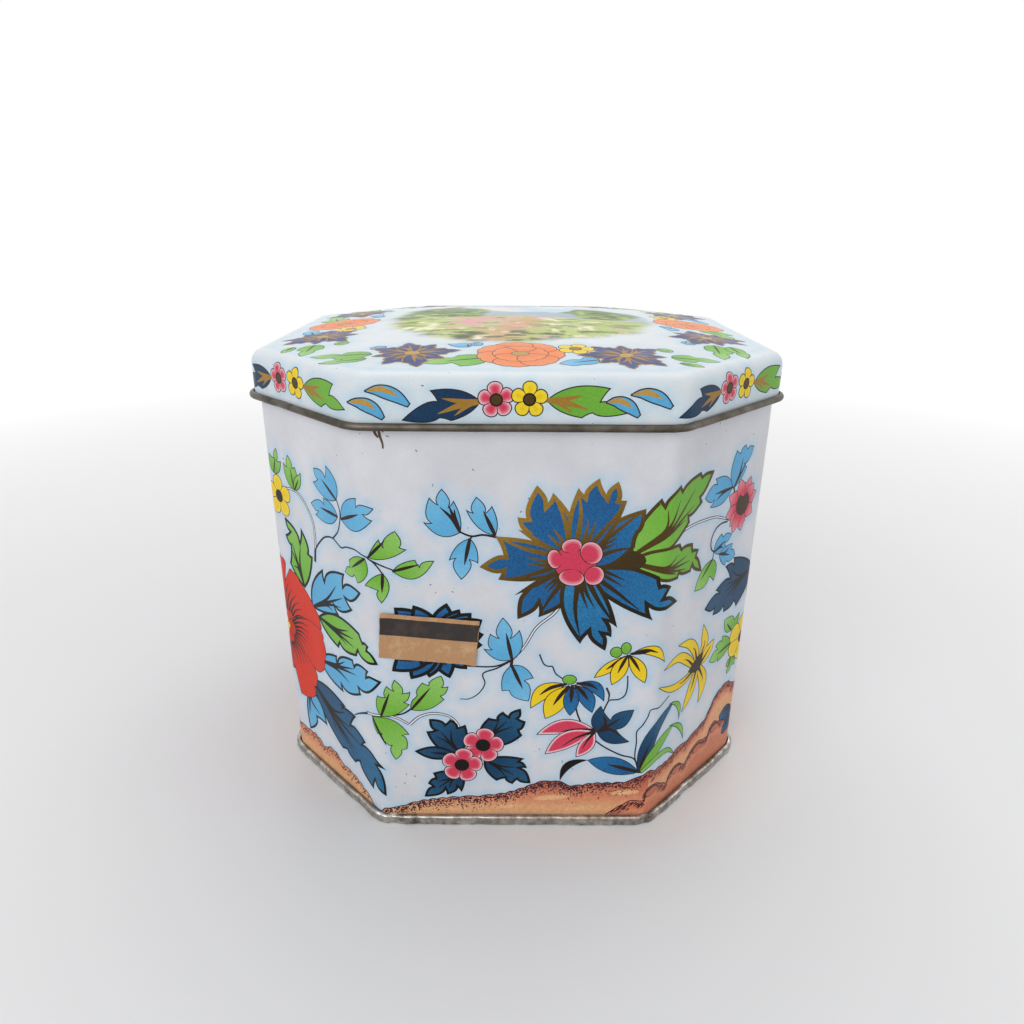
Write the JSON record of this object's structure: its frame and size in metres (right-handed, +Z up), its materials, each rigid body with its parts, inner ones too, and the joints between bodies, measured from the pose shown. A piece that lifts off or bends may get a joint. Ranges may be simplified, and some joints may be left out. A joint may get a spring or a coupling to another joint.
{
  "type": "tin box",
  "caption": "Eight-sided printed tinplate box with a slip-over crowned lid that lifts straight off, a rolled lid hem and a double-seamed sunk base.",
  "frame": {"origin": "middle of the foot, on the surface that the box stands on, under the crown of the lid", "axes": "+Z up along the lid's lift, -Y towards the front face with the price label, +X to the right of that face"},
  "size_m": [0.1262, 0.1262, 0.1159],
  "materials": {
    "printed_tinplate": "gloss varnished print",
    "bare_tinplate": "satin",
    "tarnished_tinplate": "dull",
    "kraft_paper": "matte"
  },
  "bodies": {
    "tin_body": {"body_wall": "printed_tinplate", "body_rim_curl": "bare_tinplate", "side_lock_seam": "bare_tinplate", "base_end": "bare_tinplate", "price_label": "kraft_paper"},
    "lid": {"lid_panel": "printed_tinplate", "lid_hem_curl": "tarnished_tinplate"}
  },
  "joints": [
    {"name": "lid_lift", "type": "slide", "parent": "tin_body", "child": "lid", "axis": [0, 0, 1], "range_m": [0, 0.04]}
  ]
}
